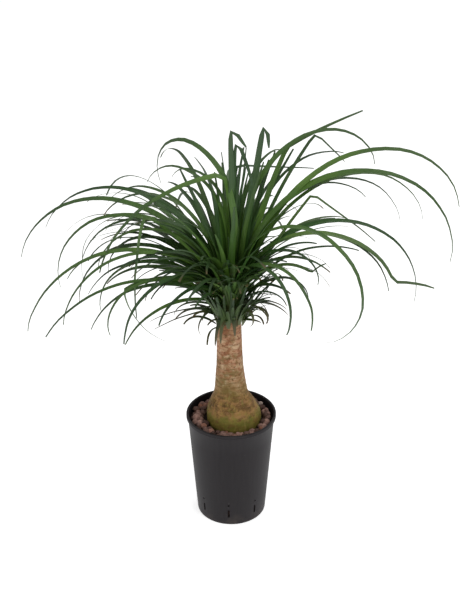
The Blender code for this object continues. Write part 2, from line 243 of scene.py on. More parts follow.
def place(piece, node, slot, sharpAngle):
    piece.data.shade_smooth()
    piece.data.set_sharp_from_angle(angle=math.radians(sharpAngle))
    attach(piece, "root")
    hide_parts(node)
    print("made", piece.name, "with", len(piece.data.polygons), "faces")


# The value of a table of pairs at x, on straight lines between its rows
def between(table, x):
    return float(np.interp(x, [row[0] for row in table], [row[1] for row in table]))


# A closed body from level rings of radius, height and sideways place, with a fan at each end.
# The rings start under the body and run up its outside.
def turned(rings, sides):
    verts = []
    for radius, z, middle in rings:
        for k in range(sides):
            angle = 2.0 * math.pi * k / sides
            verts.append((middle + radius * math.cos(angle), radius * math.sin(angle), z))
    faces = []
    for first in range(0, (len(rings) - 1) * sides, sides):
        for k in range(sides):
            after = (k + 1) % sides
            faces.append((first + k, first + after, first + sides + after, first + sides + k))
    last = (len(rings) - 1) * sides
    for k in range(sides):
        after = (k + 1) % sides
        faces.append((len(verts), after, k))
        faces.append((len(verts) + 1, last + k, last + after))
    verts += [(rings[0][2], 0.0, rings[0][1]), (rings[-1][2], 0.0, rings[-1][1])]
    return verts, faces


# Camera, lights and floor
studio = {
    "cameraPlace": (0.0106, -1.5398, 1.1808),
    "cameraPitch": 26.9,
    "lens": 65.34,
    "sky": 0.42,
    "floorGlow": 0.62,
    "floorHalf": 9.0,
    "aim": (0.0, 0.0, 0.35),
    "lights": (  # name, place, size, power
        ("keyLight", (1.3, -1.4, 2.2), 1.2, 17.0),
        ("fillLight", (-1.6, -1.2, 1.4), 1.6, 5.0),
        ("rimLight", (0.6, 1.7, 2.0), 1.2, 9.0),
    ),
}


def softLight(name, spot, size, power):
    lamp = bpy.data.lights.new(name, "AREA")
    lamp.shape = "DISK"
    lamp.size = size
    lamp.energy = power
    thing = bpy.data.objects.new(name, lamp)
    thing.location = spot
    thing.rotation_euler = (Vector(studio["aim"]) - Vector(spot)).to_track_quat("-Z", "Y").to_euler()
    bpy.context.scene.collection.objects.link(thing)


def makeStudio():
    scene = bpy.context.scene
    scene.view_settings.view_transform = "Standard"
    scene.world = bpy.data.worlds.new("studioSky")
    scene.world.use_nodes = True
    sky = scene.world.node_tree.nodes["Background"]
    sky.inputs["Color"].default_value = (1.0, 1.0, 1.0, 1.0)
    sky.inputs["Strength"].default_value = studio["sky"]
    camera = bpy.data.objects.new("camera", bpy.data.cameras.new("camera"))
    camera.data.lens = studio["lens"]
    camera.location = studio["cameraPlace"]
    camera.rotation_euler = (math.radians(90.0 - studio["cameraPitch"]), 0.0, 0.0)
    scene.collection.objects.link(camera)
    scene.camera = camera
    for light in studio["lights"]:
        softLight(*light)
    half = studio["floorHalf"]
    floor = newPiece("floor", [(-half, -half, 0), (half, -half, 0), (half, half, 0), (-half, half, 0)],
                     [(0, 1, 2, 3)])
    pale = Finish("paleFloor")
    grain = pale.clouds(pale.place, 30.0)
    pale.shade({"Base Color": pale.mix(grain, tint(246, 246, 246), tint(250, 250, 250)), "Roughness": 0.9,
                "Emission Color": tint(255, 255, 255), "Emission Strength": studio["floorGlow"]})
    floor.data.materials.append(pale.material)
    print("studio ready")


# Grow pot
pot = {
    "height": 0.190,
    "rimRadius": 0.0750,
    "rimDepth": 0.0065,
    "wallTop": 0.0722,
    "base": 0.0585,
    "wall": 0.0016,
    "floor": 0.0030,
    "foot": 0.0022,
    "lip": 0.0011,
    "sides": 192,
    "slotGroups": 8,
    "slotFirst": -94.0,
    "slotWidth": 0.0034,
    "slotBottom": 0.016,
    "slotTop": 0.032,
    "holeHeight": 0.042,
    "holeWidth": 0.0036,
    "cutInside": 0.010,
    "cutDepth": 0.020,
}


def wallOutside(z):
    return pot["base"] + (pot["wallTop"] - pot["base"]) * z / (pot["height"] - pot["rimDepth"])


def wallInside(z):
    return wallOutside(z) - pot["wall"]


def arc(x, z, radius, first, last):
    angles = [math.radians(first + (last - first) * k / 5.0) for k in range(6)]
    return [(x + radius * math.cos(a), z + radius * math.sin(a)) for a in angles]


# Outline of the wall, from the underside round the rim to the floor inside
def potOutline():
    top, rim = pot["height"], pot["rimRadius"]
    rimFoot = top - pot["rimDepth"]
    foot, lip = pot["foot"], pot["lip"]
    outline = [(0.030, 0.0008), (0.052, 0.0008), (0.0535, 0.0)]
    outline += arc(pot["base"] - foot, foot, foot, -90, 0)
    outline += [(wallOutside(z), z) for z in (0.05, 0.10, 0.15)]
    outline += [(pot["wallTop"], rimFoot - 0.0014), (pot["wallTop"] + 0.0006, rimFoot - 0.0003)]
    outline += [(rim - 0.0007, rimFoot), (rim, rimFoot + 0.0007)]
    outline += arc(rim - lip, top - lip, lip, 0, 90)
    outline += arc(wallInside(top) + lip, top - lip, lip, 90, 180)
    outline += [(wallInside(z), z) for z in (0.15, 0.10, 0.05)]
    outline += [(wallInside(pot["floor"]), pot["floor"] + 0.002), (wallInside(0.0) - 0.002, pot["floor"])]
    return outline


def plasticFinish():
    finish = Finish("charcoalPlastic")
    x, y, z = finish.split(finish.place)
    speck = finish.clouds(finish.place, 900.0, 2.0)
    cloud = finish.clouds(finish.stretch(finish.place, 1.0, 1.0, 0.35), 26.0)
    drawn = finish.clouds(finish.stretch(finish.place, 1.0, 1.0, 0.04), 240.0)  # streaks from the mould
    scuff = finish.clouds(finish.stretch(finish.place, 1.0, 1.0, 2.4), 70.0, 6.0, 0.7).ease(0.62, 0.74)
    dust = (1.0 - z.ease(0.0, 0.035)) * finish.clouds(finish.place, 60.0).ease(0.42, 0.75)
    edge = z.ease(0.1862, 0.1895) * cloud.ease(0.3, 0.7)
    colour = finish.mix(cloud, tint(28, 25, 28), tint(38, 34, 37))
    colour = finish.mix(drawn * 0.35, colour, tint(54, 52, 53))
    colour = finish.mix(scuff * 0.22, colour, tint(84, 80, 78))
    colour = finish.mix(dust * 0.35, colour, tint(90, 80, 72))
    colour = finish.mix(edge * 0.20, colour, tint(78, 74, 74))
    finish.shade({"Base Color": colour, "Roughness": 0.46 + cloud * 0.12 + scuff * 0.12 + speck * 0.04,
                  "Specular IOR Level": 0.20})
    finish.bump(speck * 0.5 + drawn * 0.6 + scuff * 0.3, 0.35, 0.0002)
    return finish.material


# Cuts a water slot and the round hole over it at each bearing
def slotRecipe():
    recipe = Recipe("waterSlots", {
        "Groups": pot["slotGroups"],
        "First bearing": math.radians(pot["slotFirst"]),
        "Slot width": pot["slotWidth"],
        "Slot length": pot["slotTop"] - pot["slotBottom"],
        "Slot middle": (pot["slotTop"] + pot["slotBottom"]) / 2.0,
        "Hole width": pot["holeWidth"],
        "Hole height": pot["holeHeight"],
        "Depth": pot["cutDepth"],
        "Material": plasticFinish(),
    })

    def bar(outline, height):
        flat = recipe.node("GeometryNodeFillCurve", None, (outline,))
        solid = recipe.node("GeometryNodeExtrudeMesh", {"mode": "FACES"},
                            {"Mesh": flat, "Offset Scale": recipe.given("Depth")})
        back = recipe.node("GeometryNodeFlipFaces", None, (flat,))
        whole = recipe.node("GeometryNodeJoinGeometry", None, ([solid, back],))
        whole = recipe.node("GeometryNodeMergeByDistance", None, {"Geometry": whole, "Distance": 0.00001})
        return recipe.move(whole, "Offset", recipe.join(0.0, height, 0.0))

    width = recipe.given("Slot width")
    slot = recipe.node("GeometryNodeCurvePrimitiveQuadrilateral", None, (width, recipe.given("Slot length")))
    slot = recipe.node("GeometryNodeFilletCurve", {"mode": "POLY"},
                       {"Curve": slot, "Count": 6, "Radius": width * 0.499})
    hole = recipe.node("GeometryNodeCurvePrimitiveCircle", None,
                       {"Resolution": 16, "Radius": recipe.given("Hole width") * 0.5})
    bars = recipe.node("GeometryNodeJoinGeometry", None, ([bar(slot, recipe.given("Slot middle")),
                                                          bar(hole, recipe.given("Hole height"))],))
    # The bars are stood up to point outwards through the wall
    bars = recipe.node("GeometryNodeTransform", None, {
        "Geometry": bars, "Translation": (pot["base"] - pot["cutInside"], 0.0, 0.0),
        "Rotation": (math.pi / 2.0, 0.0, math.pi / 2.0)})
    index = recipe.node("GeometryNodeInputIndex")
    turn = recipe.given("First bearing") + index * (2.0 * math.pi) / recipe.given("Groups")
    spots = recipe.node("GeometryNodePoints", None, {"Count": recipe.given("Groups")})
    bars = recipe.node("GeometryNodeInstanceOnPoints", None, {
        "Points": spots, "Instance": bars, "Rotation": recipe.join(0.0, 0.0, turn)})
    bars = recipe.node("GeometryNodeRealizeInstances", None, (bars,))
    wall = Value(recipe, recipe.start.outputs["Geometry"])
    return recipe.finish(recipe.node(
        "GeometryNodeMeshBoolean", {"operation": "DIFFERENCE", "solver": "EXACT"},
        {"Mesh 1": wall, "Mesh 2": bars}))


def makePot():
    body = newPiece("growPot", *turned([(radius, z, 0.0) for radius, z in potOutline()], pot["sides"]))
    slotRecipe().make(body)
    place(body, "pot", "pot_plastic", 32)


# Trunk with its swollen base
trunk = {
    "profile": (  # height and radius
        (0.060, 0.0040), (0.085, 0.0090), (0.112, 0.0130), (0.124, 0.0185), (0.136, 0.0285),
        (0.150, 0.0370), (0.164, 0.0420), (0.176, 0.0448), (0.188, 0.0455), (0.198, 0.0438),
        (0.208, 0.0400), (0.217, 0.0355), (0.225, 0.0310), (0.233, 0.0276), (0.242, 0.0262),
        (0.252, 0.0252), (0.269, 0.0232), (0.285, 0.0218), (0.305, 0.0209), (0.335, 0.0203),
        (0.368, 0.0198),
    ),
    "lean": ((0.060, 0.0047), (0.188, 0.0047), (0.208, 0.0022), (0.225, 0.0), (0.270, -0.0015),
             (0.330, -0.0025), (0.368, -0.0035)),
    "sides": 176,
    "step": 0.0010,
    "scarStart": 0.232,
    "scarPitch": 0.0088,
    "scarDepth": 0.00045,
    "swellStart": 0.192,
    "swellRise": 0.030,
    "swellDepth": 0.00035,
    "crackDepth": 0.0007,
    "noiseSeed": 5,
    "lumps": ((130.0, 0.00035), (420.0, 0.00018)),  # fineness and height
}


# Radius of the trunk at a height, by a soft curve through the profile
def trunkRadius(z):
    nearby = [between(trunk["profile"], z + k * 0.002) for k in range(-3, 4)]
    return sum(share * radius for share, radius in zip((1, 3, 5, 6, 5, 3, 1), nearby)) / 24.0


def trunkMiddle(z):
    return between(trunk["lean"], z)


def trunkSwell(angle, z):
    rise = min(1.0, max(0.0, (z - trunk["swellStart"]) / trunk["swellRise"]))
    lobes = math.sin(3.0 * angle + 0.7 + 9.0 * z) + 0.6 * math.sin(5.0 * angle + 40.0 * z)
    return rise * trunk["swellDepth"] * lobes


# 1 in the groove of a leaf scar and 0 between them: the rings wander and break up round the stem
def scarAt(angle, z, around):
    if z < trunk["scarStart"]:
        return 0.0
    wander = 0.35 * noise.noise(Vector((math.cos(angle) * 1.3, math.sin(angle) * 1.3, z * 30.0)))
    count = (z - trunk["scarStart"]) / trunk["scarPitch"] + wander
    line = max(0.0, 1.0 - abs(count - round(count)) / 0.17)
    return line * line * (3.0 - 2.0 * line) * min(1.0, max(0.0, 0.5 + 0.9 * noise.noise(around * 55.0)))


# 1 in a crack of the cork on the bulb's shoulder: upright fissures that break off
def crackAt(around, z):
    band = min(1.0, max(0.0, (z - 0.190) / 0.012)) * min(1.0, max(0.0, (0.244 - z) / 0.016))
    if band <= 0.0:
        return 0.0
    spot = Vector((around.x * 190.0, around.y * 190.0, z * 62.0)) + 1.4 * noise.noise_vector(around * 75.0)
    near = noise.voronoi(spot)[0]
    broken = min(1.0, max(0.0, 0.35 + 1.5 * noise.noise(around * 90.0)))
    return band * broken * max(0.0, 1.0 - (near[1] - near[0]) / 0.14)


def barkFinish():
    finish = Finish("palmBark")
    x, y, z = finish.split(finish.place)
    scar, crack = finish.attribute("scar"), finish.attribute("crack")
    broad = finish.clouds(finish.place, 48.0, 5.0, 0.6)
    blotch = finish.clouds(finish.stretch(finish.place, 1.0, 1.0, 1.3), 95.0, 4.0, 0.6)
    rings = finish.clouds(finish.stretch(finish.place, 1.0, 1.0, 3.6), 62.0, 5.0, 0.7)
    fine = finish.clouds(finish.stretch(finish.place, 1.0, 1.0, 1.6), 420.0, 4.0, 0.65)
    fleck = finish.clouds(finish.stretch(finish.place, 1.0, 1.0, 1.5), 165.0, 3.0, 0.7)
    streak = finish.clouds(finish.stretch(finish.place, 1.0, 1.0, 0.25), 150.0, 5.0, 0.7)
    bark = finish.mix(broad.ease(0.40, 0.58), tint(128, 102, 66), tint(176, 140, 106))
    bark = finish.mix(rings.ease(0.46, 0.60) * 0.60, bark, tint(180, 126, 98))
    bark = finish.mix(blotch.ease(0.52, 0.60) * 0.75, bark, tint(132, 82, 52))
    bark = finish.mix((1.0 - blotch.ease(0.38, 0.45)) * 0.50, bark, tint(208, 182, 148))
    bark = finish.mix(z.ease(0.330, 0.366) * 0.40, bark, tint(146, 92, 62))
    bark = finish.mix(fine.ease(0.58, 0.75) * 0.22, bark, tint(208, 186, 154))
    bark = finish.mix(fleck.ease(0.60, 0.64) * 0.85, bark, tint(92, 54, 32))
    bark = finish.mix(scar * 0.60, bark, tint(96, 64, 40))
    bark = finish.mix(streak.ease(0.56, 0.66) * 0.38, bark, tint(118, 106, 62))
    # The bulb's smooth olive skin with upright streaks and brown spots
    skin = finish.mix(broad.ease(0.3, 0.7), tint(104, 104, 40), tint(138, 124, 58))
    skin = finish.mix(streak.ease(0.50, 0.68) * 0.6, skin, tint(158, 138, 78))
    skin = finish.mix(blotch.ease(0.48, 0.66) * 0.55, skin, tint(116, 82, 44))
    skin = finish.mix(fleck.ease(0.60, 0.70) * 0.5, skin, tint(84, 60, 32))
    # The brown cork of its shoulder
    cork = finish.mix(broad.ease(0.40, 0.60), tint(112, 76, 42), tint(154, 114, 68))
    cork = finish.mix(blotch.ease(0.50, 0.60) * 0.7, cork, tint(84, 54, 30))
    cork = finish.mix(rings.ease(0.48, 0.62) * 0.5, cork, tint(166, 128, 82))
    cork = finish.mix(streak.ease(0.56, 0.66) * 0.5, cork, tint(124, 122, 56))
    cork = finish.mix(fine.ease(0.52, 0.70) * 0.4, cork, tint(180, 148, 100))
    height = z + (broad - 0.5) * 0.030 + (streak - 0.5) * 0.040 + (blotch - 0.5) * 0.016
    shoulder = height.ease(0.196, 0.210)
    colour = finish.mix(shoulder * (0.60 + 0.40 * rings.ease(0.35, 0.6)), skin, cork)
    colour = finish.mix(height.ease(0.232, 0.256), colour, bark)
    colour = finish.mix(height.ease(0.225, 0.245) * (1.0 - height.ease(0.250, 0.300)) * 0.35, colour,
                        tint(122, 112, 60))
    colour = finish.mix(crack * 0.75, colour, tint(60, 44, 24))
    colour = finish.mix((1.0 - height.ease(0.168, 0.180)) * 0.6, colour, tint(70, 56, 34))  # painted shade: darker at the foot, where the trunk goes down into the clay
    finish.shade({"Base Color": colour, "Roughness": 0.52 + fine * 0.25 + shoulder * 0.10,
                  "Specular IOR Level": 0.3})
    finish.bump(fine * 0.6 + rings * 0.9 + fleck * 0.5 + blotch * 0.8 - crack * 0.9 - scar * 0.7, 0.8, 0.0011)
    return finish.material


def makeTrunk():
    noise.seed_set(trunk["noiseSeed"])  # noise_vector follows the clock without it
    low, high = trunk["profile"][0][0], trunk["profile"][-1][0]
    count = round((high - low) / trunk["step"])
    heights = [low + (high - low) * k / count for k in range(count + 1)]
    verts, faces = turned([(trunkRadius(z), z, trunkMiddle(z)) for z in heights], trunk["sides"])
    scars, cracks = [0.0] * len(verts), [0.0] * len(verts)
    for k, (x, y, z) in enumerate(verts[:-2]):
        angle = 2.0 * math.pi * (k % trunk["sides"]) / trunk["sides"]
        out = Vector((math.cos(angle), math.sin(angle), 0.0))
        around = out * 0.03 + Vector((0.0, 0.0, z))
        scars[k] = scarAt(angle, z, around)
        cracks[k] = crackAt(around, z)
        rough = sum(depth * noise.noise(around * fine) for fine, depth in trunk["lumps"])
        rough += trunkSwell(angle, z) - trunk["scarDepth"] * scars[k] - trunk["crackDepth"] * cracks[k]
        verts[k] = Vector((x, y, z)) + out * rough
    body = newPiece("palmTrunk", verts, faces)
    storeValues(body, "scar", scars)
    storeValues(body, "crack", cracks)
    body.data.materials.append(barkFinish())
    place(body, "trunk", "trunk_bark", 60)


# Fired clay granules
clay = {
    "bedTop": 0.1745,
    "gap": 0.0003,
    "count": 76,
    "inner": 0.0520,
    "outer": 0.0633,
    "goldenTurn": 137.508,
    "smallest": 0.0040,
    "largest": 0.0068,
    "layers": (0.1765, 0.1808),
    "jitter": 0.0014,
    "dents": 0.0036,
    "seed": 11,
    "sides": 96,
}


def clayFinish():
    finish = Finish("firedClay")
    pores = finish.clouds(finish.place, 700.0, 4.0, 0.7)
    blotch = finish.clouds(finish.place, 190.0)
    # The ramp's first stop, near black, is for the bed alone: painted shade under the pebbles and behind the
    # slots
    colour = finish.ramp(finish.attribute("grain"), (
        (0.0, tint(36, 27, 24)), (0.10, tint(66, 48, 42)), (0.32, tint(98, 74, 66)),
        (0.58, tint(136, 106, 98)), (0.82, tint(170, 132, 120)), (0.90, tint(160, 106, 84)),
        (0.95, tint(140, 104, 94)), (1.0, tint(204, 184, 172))))
    colour = finish.mix(blotch.ease(0.42, 0.66) * 0.50, colour, tint(84, 62, 56))
    colour = finish.mix(pores.ease(0.58, 0.72) * 0.60, colour, tint(56, 38, 34))
    colour = finish.mix((1.0 - pores.ease(0.28, 0.42)) * 0.8, colour, tint(196, 174, 162))
    height = finish.split(finish.place)[2]
    # Painted shade: darker lower down, in the gaps between and under the pebbles
    colour = finish.mix((1.0 - height.ease(0.1755, 0.1835)) * 0.75, colour, tint(48, 34, 30))
    finish.shade({"Base Color": colour, "Roughness": 0.82 + pores * 0.12, "Specular IOR Level": 0.25})
    finish.bump(pores + blotch * 0.8, 0.8, 0.0009)
    return finish.material


# Lays two layers of pebbles on the bed, each pebble turned, sized and dented by chance
def pebbleRecipe():
    recipe = Recipe("clayPebbles", {
        "Count": clay["count"],
        "Inner": clay["inner"],
        "Outer": clay["outer"],
        "Smallest": clay["smallest"],
        "Largest": clay["largest"],
        "Lower layer": clay["layers"][0],
        "Upper layer": clay["layers"][1],
        "Jitter": clay["jitter"],
        "Dents": clay["dents"],
        "Trunk place": trunkMiddle(clay["bedTop"]),
        "Seed": clay["seed"],
        "Material": clayFinish(),
    })
    pebble = recipe.node("GeometryNodeMeshIcoSphere", None, {"Radius": 1.0, "Subdivisions": 3})

    def layer(height, shift):
        index = recipe.node("GeometryNodeInputIndex")
        share = ((index + 0.5) / recipe.given("Count")) ** 0.85
        share = share + recipe.chance(-0.04, 0.04, shift)
        inner, outer = recipe.given("Inner"), recipe.given("Outer")
        reach = inner + (outer - inner) * share
        middle = recipe.given("Trunk place") * (1.0 - share)
        turn = index * math.radians(clay["goldenTurn"]) + recipe.chance(-0.07, 0.07, shift + 1) + shift
        jitter = recipe.given("Jitter")
        z = recipe.given(height) + recipe.chance(-1.0, 1.0, shift + 2) * jitter
        spots = recipe.node("GeometryNodePoints", None, {
            "Count": recipe.given("Count"),
            "Position": recipe.join(middle + reach * turn.cosine(), reach * turn.sine(), z)})
        spots = recipe.store(spots, "grain", recipe.chance(0.1, 1.0, shift + 3))
        size = recipe.chance(recipe.given("Smallest"), recipe.given("Largest"), shift + 4)
        return recipe.node("GeometryNodeInstanceOnPoints", None, {
            "Points": spots, "Instance": pebble,
            "Scale": recipe.join(size, size * recipe.chance(0.80, 1.0, shift + 5),
                                 size * recipe.chance(0.72, 0.95, shift + 6)),
            "Rotation": recipe.join(recipe.chance(-0.6, 0.6, shift + 7), recipe.chance(-0.6, 0.6, shift + 8),
                                    recipe.chance(0.0, 6.28, shift + 9))})

    layers = [layer("Lower layer", 0), layer("Upper layer", 20)]
    laid = recipe.node("GeometryNodeJoinGeometry", None, (layers,))
    laid = recipe.node("GeometryNodeRealizeInstances", None, (laid,))
    here = recipe.node("GeometryNodeInputPosition")
    lumps = recipe.clouds(here, 120.0, 2.0) - 0.5 + (recipe.clouds(here, 420.0, 1.0) - 0.5) * 0.3
    dent = recipe.scaled(recipe.node("GeometryNodeInputNormal"), lumps * recipe.given("Dents"))
    laid = recipe.move(laid, "Offset", dent)
    bed = Value(recipe, recipe.start.outputs["Geometry"])
    return recipe.finish(recipe.node("GeometryNodeJoinGeometry", None, ([bed, laid],)))


# The bed under the pebbles, with the hollow that the trunk stands in
def makeGranules():
    gap = clay["gap"]
    heights = np.linspace(pot["floor"] + gap, clay["bedTop"], 12)
    rings = [(wallInside(z) - gap, z, 0.0) for z in heights]
    hollow = [z for z, radius in trunk["profile"] if z < clay["bedTop"]] + [clay["bedTop"]]
    for z in reversed(hollow):
        rings.append((trunkRadius(z) + 4.0 * gap, z - (gap if z < clay["bedTop"] else 0.0), trunkMiddle(z)))
    verts, faces = turned(rings, clay["sides"])
    bed = newPiece("clayGranules", verts, faces)
    # Grain 0 gives the bed the ramp's near-black stop: painted shade under the pebbles
    storeValues(bed, "grain", [0.0] * len(verts))
    pebbleRecipe().make(bed)
    place(bed, "clay_granules", "fired_clay", 70)


# Crown of leaves
crown = {
    "centre": -0.001,
    "rootReach": 0.010,
    "rootHeights": (0.392, 0.396),
    "cutReach": 0.015,
    "cutHeight": 0.388,
    "tipWidth": 0.0026,
    "baseOpening": 1.45,
    "taper": 0.9,
    "lateTaper": 0.45,
    "lateCrease": 0.75,
    "creaseSpan": 0.03,
    "cutTaper": 0.6,
    "cutTip": 0.0012,
    "collarRoot": 0.4,
    "rootRate": 4.0,
    "turnedBy": 0.4,
    "driftEase": 1.5,
    "steps": 150,
    "points": 30,
    "section": 10,
    "seed": 48,
    "toneSeed": 3412,
    "channel": 0.30,
    "thickness": 0.075,
    "sway": 0.0030,
}
# Leaves that stand clear of the rest: bearing, pitch at the root and at the tip, how late the leaf
# bends, length and width in millimetres, turn, and a crease if it has one
clearLeaves = (
    (172, 74, -76, 1.30, 462, 12, -35),
    (165, 82, -66, 1.28, 430, 10, -30),
    (179, 76, -102, 1.42, 418, 10, -30),
    (176, 84, -98, 1.34, 372, 9, -20),
    (184, 77, -84, 1.60, 300, 9, -20),
    (190, 69, -78, 1.02, 414, 10, -25),
    (196, 71, -84, 1.15, 356, 9, -20),
    (200, 45, -54, 1.15, 326, 8, -20),
    (204, 42, -108, 2.00, 262, 8, -20),
    (215, 77, -86, 1.00, 266, 9, -20),
    (218, 80, -66, 0.90, 168, 8, -20),
    (197, 80, 20, 0.60, 375, 9, -30, 0.55, -112),
    (143, 103, -124, 2.40, 422, 12, -60),
    (160, 96, -70, 2.60, 322, 8, -30),
    (150, 98, -62, 3.00, 290, 8, -30),
    (190, 97, 8, 1.90, 475, 11, -40, 0.46, -84),
    (155, 82, -5, 1.30, 265, 7, -20),
    (150, 84, -60, 1.50, 345, 8, -20),
    (192, 56, -102, 1.80, 278, 8, -20),
    (185, 46, -62, 2.10, 292, 8, -20),
    (198, 60, -83, 1.00, 310, 8, -20, 0.59, -70),
    (14, 77, 58, 1.50, 392, 13, 40, 0.68, -41),
    (10, 87, -84, 2.55, 446, 12, 40),
    (8, 76, 50, 1.20, 362, 9, 20, 0.83, -100),
    (20, 80, -24, 2.60, 332, 9, 20),
    (1, 73, -83, 2.02, 530, 13, 35),
    (-1, 83, -98, 1.44, 555, 13, 35),
    (5, 72, -82, 2.00, 448, 9, 20),
    (8, 78, -84, 1.85, 418, 8, 20),
    (5, 77, -50, 2.30, 326, 8, 20),
    (1, 61, 52, 1.00, 342, 9, 20, 0.63, -92),
    (14, 76, -6, 1.20, 226, 7, 20),
    (-2, 74, -101, 1.34, 440, 11, 25),
    (-15, 80, -99, 1.24, 406, 10, 20, 0.85, 80),
    (-14, 82, -78, 1.26, 354, 8, 20),
    (-10, 57, -18, 1.70, 234, 7, 20),
    (-22, 67, -54, 1.60, 192, 7, 20, 0.85, 82),
    (-18, 80, -100, 1.80, 226, 7, 20),
    (-34, 91, -162, 1.34, 488, 10, 20),
    (-50, 96, -125, 1.20, 262, 8, 20),
    (-42, 90, -102, 1.18, 266, 8, 20),
    (28, 92, 86, 1.00, 366, 8, 20, 0.62, -98),
    (50, 86, -30, 3.40, 292, 9, 20),
    (1, 93, 90, 1.00, 318, 11, 80, 0.90, -146),
    (-11, 93, 86, 1.00, 333, 8, 60, 0.80, -160),
    (5, 84, 80, 1.00, 326, 13, 75, 0.90, -165),
    (34, 80, 66, 1.00, 250, 9, 40),
    (120, 93, 80, 1.00, 245, 6, 30),
    (172, 82, 64, 1.20, 232, 13, -66),
    (-16, 86, 74, 1.10, 246, 13, 62),
    (196, 88, 80, 1.00, 205, 12, -57),
    (25, 80, 52, 1.30, 262, 12, 48),
    (189, 74, 30, 1.40, 250, 11, -44),
    (-22, 89, 84, 1.00, 262, 12, 54),
    (38, 78, 70, 1.00, 236, 12, 60),
    (188, 38, -70, 1.30, 250, 9, -20),
    (176, 52, -64, 1.30, 262, 9, -20),
    (200, 28, -66, 1.20, 190, 8, -20),
)
# Old leaves cut short below the crown, with the same values
cutLeaves = (
    (186, 20, -100, 2.40, 92, 9, 0),
    (206, 12, -140, 1.20, 78, 6, 0),
    (184, 4, -26, 1.00, 118, 5, 0),
    (192, -4, -24, 1.00, 112, 5, 0),
    (205, 20, -90, 1.00, 56, 7, 0),
    (235, -30, -80, 0.60, 60, 8, 0),
    (-112, 0, -88, 0.50, 56, 8, 0),
    (-80, 5, -88, 0.50, 44, 8, 0),
    (-35, 45, -150, 1.00, 58, 9, 0),
    (-12, 40, -40, 1.20, 82, 7, 0),
    (-4, 24, -58, 1.40, 86, 10, 0),
    (-30, 50, -72, 1.10, 66, 7, 0),
    (35, 10, -75, 1.10, 74, 9, 0),
    (75, 5, -80, 0.90, 66, 9, 0),
    (118, 12, -70, 1.20, 82, 9, 0),
    (150, 0, -85, 0.80, 60, 8, 0),
)
# Leaves that fill the crown, in groups round it. Age runs from 0 for the youngest leaves to 1.
leafGroups = (
    dict(count=13, span=(0, 360), pitch=(56, 72), bend=(120, 165), length=(210, 310), width=(7, 11),
         height=(0.371, 0.378), age=0.85),
    dict(count=17, span=(31, 391), pitch=(62, 82), bend=(105, 160), length=(240, 360), width=(7, 11),
         height=(0.380, 0.396), age=0.50),
    dict(count=10, span=(62, 422), pitch=(74, 90), bend=(80, 150), length=(170, 240), width=(9, 13),
         height=(0.400, 0.414), age=0.10),
    dict(count=15, span=(145, 228), pitch=(64, 84), bend=(120, 170), length=(230, 350), width=(7, 11),
         height=(0.378, 0.398), age=0.55),
    dict(count=8, span=(35, 145), pitch=(66, 88), bend=(60, 120), length=(190, 250), width=(9, 13),
         height=(0.388, 0.410), age=0.20),
    dict(count=8, span=(140, 205), pitch=(66, 82), bend=(80, 130), length=(200, 290), width=(9, 12),
         height=(0.384, 0.400), age=0.45),
    dict(count=6, span=(165, 215), pitch=(50, 64), bend=(90, 140), length=(200, 290), width=(8, 11),
         height=(0.376, 0.386), age=0.70),
    dict(count=5, span=(-30, 25), pitch=(62, 80), bend=(60, 110), length=(260, 350), width=(9, 12),
         height=(0.384, 0.400), age=0.40),
)
# Leaves that the solids leave out: thin ones deep in the crown, and a collar of short ones that
# stands round the top of the trunk. Drift is how far a leaf may swing sideways, in degrees.
innerGroups = (
    dict(count=16, span=(190, 470), pitch=(50, 74), bend=(80, 150), length=(130, 220), width=(5, 8),
         height=(0.376, 0.392), age=0.70, drift=45),
    dict(count=26, span=(210, 470), pitch=(66, 88), bend=(20, 110), length=(130, 240), width=(5, 9),
         height=(0.390, 0.412), age=0.25, drift=55),
    dict(count=24, span=(210, 330), pitch=(42, 74), bend=(60, 150), length=(150, 260), width=(6, 9),
         height=(0.380, 0.404), age=0.40, drift=80),
    dict(count=54, span=(0, 360), pitch=(52, 74), bend=(-10, 90), length=(80, 150), width=(4, 7),
         height=(0.359, 0.376), age=0.80, drift=40, reach=0.0232),
    dict(count=18, span=(0, 360), pitch=(0, 44), bend=(60, 150), length=(44, 90), width=(4, 7),
         height=(0.358, 0.378), age=0.90, drift=70, reach=0.0232),
)
# Young leaves upright at the front and in the middle, with the same values as those that stand clear
youngLeaves = (
    (-82, 84, 66, 1.10, 190, 15, 8),
    (-104, 78, 44, 1.20, 175, 13, -14),
    (-58, 76, 30, 1.20, 180, 12, 18),
    (-128, 72, 16, 1.30, 190, 12, -20),
    (-38, 80, 40, 1.20, 215, 12, 24),
    (-150, 80, 30, 1.20, 230, 12, -24),
    (40, 89, 80, 1.20, 218, 12, 15),
    (60, 90, 83, 1.20, 206, 12, -20),
    (15, 89, 81, 1.20, 212, 13, 28),
    (110, 88, 77, 1.30, 222, 12, -10),
    (-20, 90, 84, 1.20, 192, 12, 35),
    (160, 90, 80, 1.40, 214, 11, -30),
)
youngHeight = 0.398
goldenShare = 0.618034
reaching = {"front": 0.45, "frontEase": 0.8, "frontBend": 0.3, "right": 0.28, "back": 0.20,
            "steep": 70.0, "lift": 20.0, "bearing": 9.0, "turn": 35.0, "drift": 14.0, "ease": (1.1, 2.2)}


def leafOf(bearing, rise, fall, ease, length, width, turn, creaseAt=None, creaseBy=0.0):
    return dict(bearing=bearing, rise=rise, fall=fall, ease=ease, length=length / 1000.0,
                width=width / 1000.0, turn=turn, crease=(creaseAt, creaseBy) if creaseAt else None,
                reach=crown["rootReach"], height=0.0, drift=0.0, cut=False, age=0.35)


